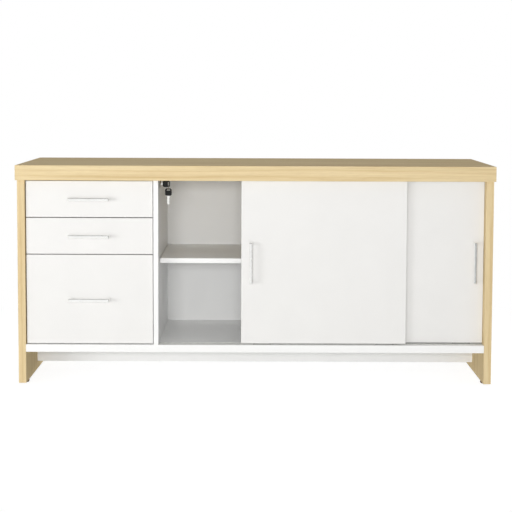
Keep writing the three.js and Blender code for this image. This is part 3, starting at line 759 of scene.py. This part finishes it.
def mirrored_room(tree):
    """What gloss and glass show of the room: white walls that darken to the ceiling and to the right."""
    direction = tree.nodes.new("ShaderNodeTexCoord")
    parts = tree.nodes.new("ShaderNodeSeparateXYZ")
    tree.links.new(direction.outputs["Generated"], parts.inputs[0])
    product = tree.nodes.new("ShaderNodeMath")
    product.operation = "MULTIPLY"
    for factor, (axis, (start, end, grey)) in zip(product.inputs, ROOM_FADES.items()):
        fade = tree.nodes.new("ShaderNodeMapRange")
        fade.inputs["From Min"].default_value = start
        fade.inputs["From Max"].default_value = end
        fade.inputs["To Min"].default_value = 1.0
        fade.inputs["To Max"].default_value = grey
        tree.links.new(parts.outputs[axis], fade.inputs["Value"])
        tree.links.new(fade.outputs[0], factor)
    return product.outputs[0]


def make_world():
    """White to the eye, the mirrored room in gloss, and a faint even light on things."""
    world = bpy.data.worlds.new("studio")
    world.use_nodes = True
    tree = world.node_tree
    ambient = tree.nodes["Background"]
    ambient.inputs["Strength"].default_value = AMBIENT
    ambient.inputs["Color"].default_value = WHITE_LIGHT
    path = tree.nodes.new("ShaderNodeLightPath")
    brightness = tree.nodes.new("ShaderNodeMath")
    brightness.operation = "MAXIMUM"
    tree.links.new(path.outputs["Is Camera Ray"], brightness.inputs[0])
    tree.links.new(mirrored_room(tree), brightness.inputs[1])
    white = tree.nodes.new("ShaderNodeBackground")
    white.inputs["Color"].default_value = WHITE_LIGHT
    tree.links.new(brightness.outputs[0], white.inputs["Strength"])
    choice = tree.nodes.new("ShaderNodeMixShader")
    tree.links.new(seen_directly(tree), choice.inputs[0])
    tree.links.new(ambient.outputs[0], choice.inputs[1])
    tree.links.new(white.outputs[0], choice.inputs[2])
    tree.links.new(choice.outputs[0], tree.nodes["World Output"].inputs["Surface"])
    bpy.context.scene.world = world


def floor_material():
    """Pale floor: lit and shadowed near the object, and plain white further off."""
    material = bpy.data.materials.new("pale_floor")
    material.use_nodes = True
    tree = material.node_tree
    tree.nodes.remove(tree.nodes["Principled BSDF"])

    def add(kind):
        return tree.nodes.new(kind)

    plain = add("ShaderNodeBsdfDiffuse")
    plain.inputs["Color"].default_value = linear(FLOOR_GREY)
    glow = add("ShaderNodeEmission")
    glow.inputs["Strength"].default_value = FLOOR_GLOW
    tint = add("ShaderNodeBsdfDiffuse")
    share = 2 * (1 - FLOOR_GLOW)
    tint.inputs["Color"].default_value = (share, share, share, 1)
    near = add("ShaderNodeAddShader")
    tree.links.new(glow.outputs[0], near.inputs[0])
    tree.links.new(tint.outputs[0], near.inputs[1])
    white = add("ShaderNodeEmission")
    place = add("ShaderNodeTexCoord")
    distance = add("ShaderNodeVectorMath")
    distance.operation = "LENGTH"
    tree.links.new(place.outputs["Object"], distance.inputs[0])
    fade = add("ShaderNodeMapRange")
    fade.interpolation_type = "SMOOTHSTEP"
    fade.inputs["From Min"].default_value = SHADOW_NEAR
    fade.inputs["From Max"].default_value = SHADOW_FAR
    tree.links.new(distance.outputs["Value"], fade.inputs["Value"])
    seen = add("ShaderNodeMixShader")
    tree.links.new(fade.outputs[0], seen.inputs[0])
    tree.links.new(near.outputs[0], seen.inputs[1])
    tree.links.new(white.outputs[0], seen.inputs[2])
    whole = add("ShaderNodeMixShader")
    tree.links.new(seen_directly(tree), whole.inputs[0])
    tree.links.new(plain.outputs[0], whole.inputs[1])
    tree.links.new(seen.outputs[0], whole.inputs[2])
    tree.links.new(whole.outputs[0], tree.nodes["Material Output"].inputs["Surface"])
    return material


def make_floor():
    """A wide floor that gloss doesn't show."""
    shape = bmesh.new()
    bmesh.ops.create_grid(shape, x_segments=1, y_segments=1, size=FLOOR_REACH / 2)
    mesh = bpy.data.meshes.new("floor")
    shape.to_mesh(mesh)
    shape.free()
    mesh.materials.append(floor_material())
    floor = bpy.data.objects.new("floor", mesh)
    floor.visible_glossy = False
    bpy.context.scene.collection.objects.link(floor)


def make_light(name, place, size, power):
    """A soft lamp that points at the object and is seen neither directly nor in gloss."""
    lamp = bpy.data.lights.new(name, "AREA")
    lamp.shape = "RECTANGLE"
    lamp.size, lamp.size_y = size
    lamp.energy = power
    light = bpy.data.objects.new(name, lamp)
    light.visible_camera = False
    light.visible_glossy = False
    light.location = place
    light.rotation_euler = (Vector(LIGHT_TARGET) - Vector(place)).to_track_quat("-Z", "Y").to_euler()
    bpy.context.scene.collection.objects.link(light)


def make_camera():
    """The photograph's camera, with a shifted lens."""
    lens = bpy.data.cameras.new("camera")
    lens.lens = CAMERA_LENS
    lens.sensor_width = CAMERA_SENSOR
    lens.shift_y = CAMERA_DROP
    camera = bpy.data.objects.new("camera", lens)
    turn = Matrix.Rotation(CAMERA_TURN, 4, "Z")
    tilt = Matrix.Rotation(math.pi / 2 - CAMERA_TILT, 4, "X")
    roll = Matrix.Rotation(CAMERA_ROLL, 4, "Z")
    camera.matrix_world = Matrix.Translation(CAMERA_PLACE) @ turn @ tilt @ roll
    bpy.context.scene.collection.objects.link(camera)
    bpy.context.scene.camera = camera


dress_solids()
add_key("key", "lock_plug", upright=False)
add_key("spare_key", "key_ring", upright=True)
add_key_ring()
add_all_fixings()

make_world()
make_floor()
for light_name, light in LIGHTS.items():
    make_light(light_name, **light)
make_camera()
bpy.context.scene.view_settings.view_transform = "Standard"
